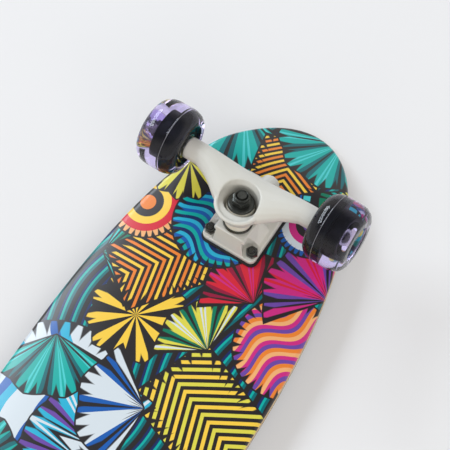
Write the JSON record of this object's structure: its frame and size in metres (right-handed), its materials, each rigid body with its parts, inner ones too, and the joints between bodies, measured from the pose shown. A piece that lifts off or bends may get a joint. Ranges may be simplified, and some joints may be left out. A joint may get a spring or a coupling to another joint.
{
  "type": "cruiser skateboard",
  "caption": "Short wide cruiser skateboard lying deck down: kicked plywood deck, two cast trucks that steer on bushings, clear wheels that spin on ball bearings.",
  "frame": {"origin": "on the floor under the middle of the board as it lies deck down, with the nose and tail tips at z = 0; the middle of the bounding box's footprint", "axes": "+X from the tail to the nose (the end in the picture), +Y across the board along the axles, +Z out of the deck's underside, so the wheels point up as pictured; turn the row 180 degrees about X to stand it on its wheels"},
  "size_m": [0.6896, 0.208, 0.1251],
  "materials": {
    "deck": "satin",
    "grip": "matte",
    "riser": "matte",
    "casting": "satin",
    "black_steel": "satin",
    "bright_steel": "satin",
    "bushing": "satin",
    "clear_tyre": "gloss",
    "core": "satin"
  },
  "bodies": {
    "board": {"deck": "deck", "grip_tape": "grip", "riser_pad_front": "riser", "baseplate_front": "casting", "kingpin_front": "black_steel", "kingpin_nut_front": "black_steel", "pivot_cup_front": "bushing", "lower_cup_washer_front": "black_steel", "lower_bushing_front": "bushing", "upper_bushing_front": "bushing", "upper_cup_washer_front": "black_steel", "deck_bolt_front_outer_left": "black_steel", "deck_nut_front_outer_left": "black_steel", "deck_bolt_front_outer_right": "black_steel", "deck_nut_front_outer_right": "black_steel", "deck_bolt_front_inner_left": "black_steel", "deck_nut_front_inner_left": "black_steel", "deck_bolt_front_inner_right": "black_steel", "deck_nut_front_inner_right": "black_steel", "riser_pad_rear": "riser", "baseplate_rear": "casting", "kingpin_rear": "black_steel", "kingpin_nut_rear": "black_steel", "pivot_cup_rear": "bushing", "lower_cup_washer_rear": "black_steel", "lower_bushing_rear": "bushing", "upper_bushing_rear": "bushing", "upper_cup_washer_rear": "black_steel", "deck_bolt_rear_outer_left": "black_steel", "deck_nut_rear_outer_left": "black_steel", "deck_bolt_rear_outer_right": "black_steel", "deck_nut_rear_outer_right": "black_steel", "deck_bolt_rear_inner_left": "black_steel", "deck_nut_rear_inner_left": "black_steel", "deck_bolt_rear_inner_right": "black_steel", "deck_nut_rear_inner_right": "black_steel"},
    "front_axle_carrier": {"hanger_front": "casting", "axle_front": "bright_steel", "axle_nut_front_left": "black_steel", "axle_nut_front_right": "black_steel"},
    "rear_axle_carrier": {"hanger_rear": "casting", "axle_rear": "bright_steel", "axle_nut_rear_left": "black_steel", "axle_nut_rear_right": "black_steel"},
    "front_left_wheel": {"wheel_tyre_front_left": "clear_tyre", "wheel_core_front_left": "core", "bearing_outer_front_left": "bright_steel", "bearing_inner_front_left": "bright_steel"},
    "front_right_wheel": {"wheel_tyre_front_right": "clear_tyre", "wheel_core_front_right": "core", "bearing_outer_front_right": "bright_steel", "bearing_inner_front_right": "bright_steel"},
    "rear_left_wheel": {"wheel_tyre_rear_left": "clear_tyre", "wheel_core_rear_left": "core", "bearing_outer_rear_left": "bright_steel", "bearing_inner_rear_left": "bright_steel"},
    "rear_right_wheel": {"wheel_tyre_rear_right": "clear_tyre", "wheel_core_rear_right": "core", "bearing_outer_rear_right": "bright_steel", "bearing_inner_rear_right": "bright_steel"}
  },
  "joints": [
    {"name": "steer_front", "type": "hinge", "parent": "board", "child": "front_axle_carrier", "pos_m": [0.2675, 0, 0.053], "axis": [-0.824, 0, 0.5666], "range_deg": [-12, 12], "stiffness_Nm_per_rad": 12, "deforming": ["lower_bushing_front", "upper_bushing_front"]},
    {"name": "steer_rear", "type": "hinge", "parent": "board", "child": "rear_axle_carrier", "pos_m": [-0.1986, 0, 0.053], "axis": [0.824, 0, 0.5666], "range_deg": [-12, 12], "stiffness_Nm_per_rad": 12, "deforming": ["lower_bushing_rear", "upper_bushing_rear"]},
    {"name": "spin_front_left", "type": "hinge", "parent": "front_axle_carrier", "child": "front_left_wheel", "pos_m": [0.2497, 0.08125, 0.0955], "axis": [0, 1, 0], "continuous": true},
    {"name": "spin_front_right", "type": "hinge", "parent": "front_axle_carrier", "child": "front_right_wheel", "pos_m": [0.2497, -0.08125, 0.0955], "axis": [0, 1, 0], "continuous": true},
    {"name": "spin_rear_left", "type": "hinge", "parent": "rear_axle_carrier", "child": "rear_left_wheel", "pos_m": [-0.1808, 0.08125, 0.0955], "axis": [0, 1, 0], "continuous": true},
    {"name": "spin_rear_right", "type": "hinge", "parent": "rear_axle_carrier", "child": "rear_right_wheel", "pos_m": [-0.1808, -0.08125, 0.0955], "axis": [0, 1, 0], "continuous": true}
  ]
}
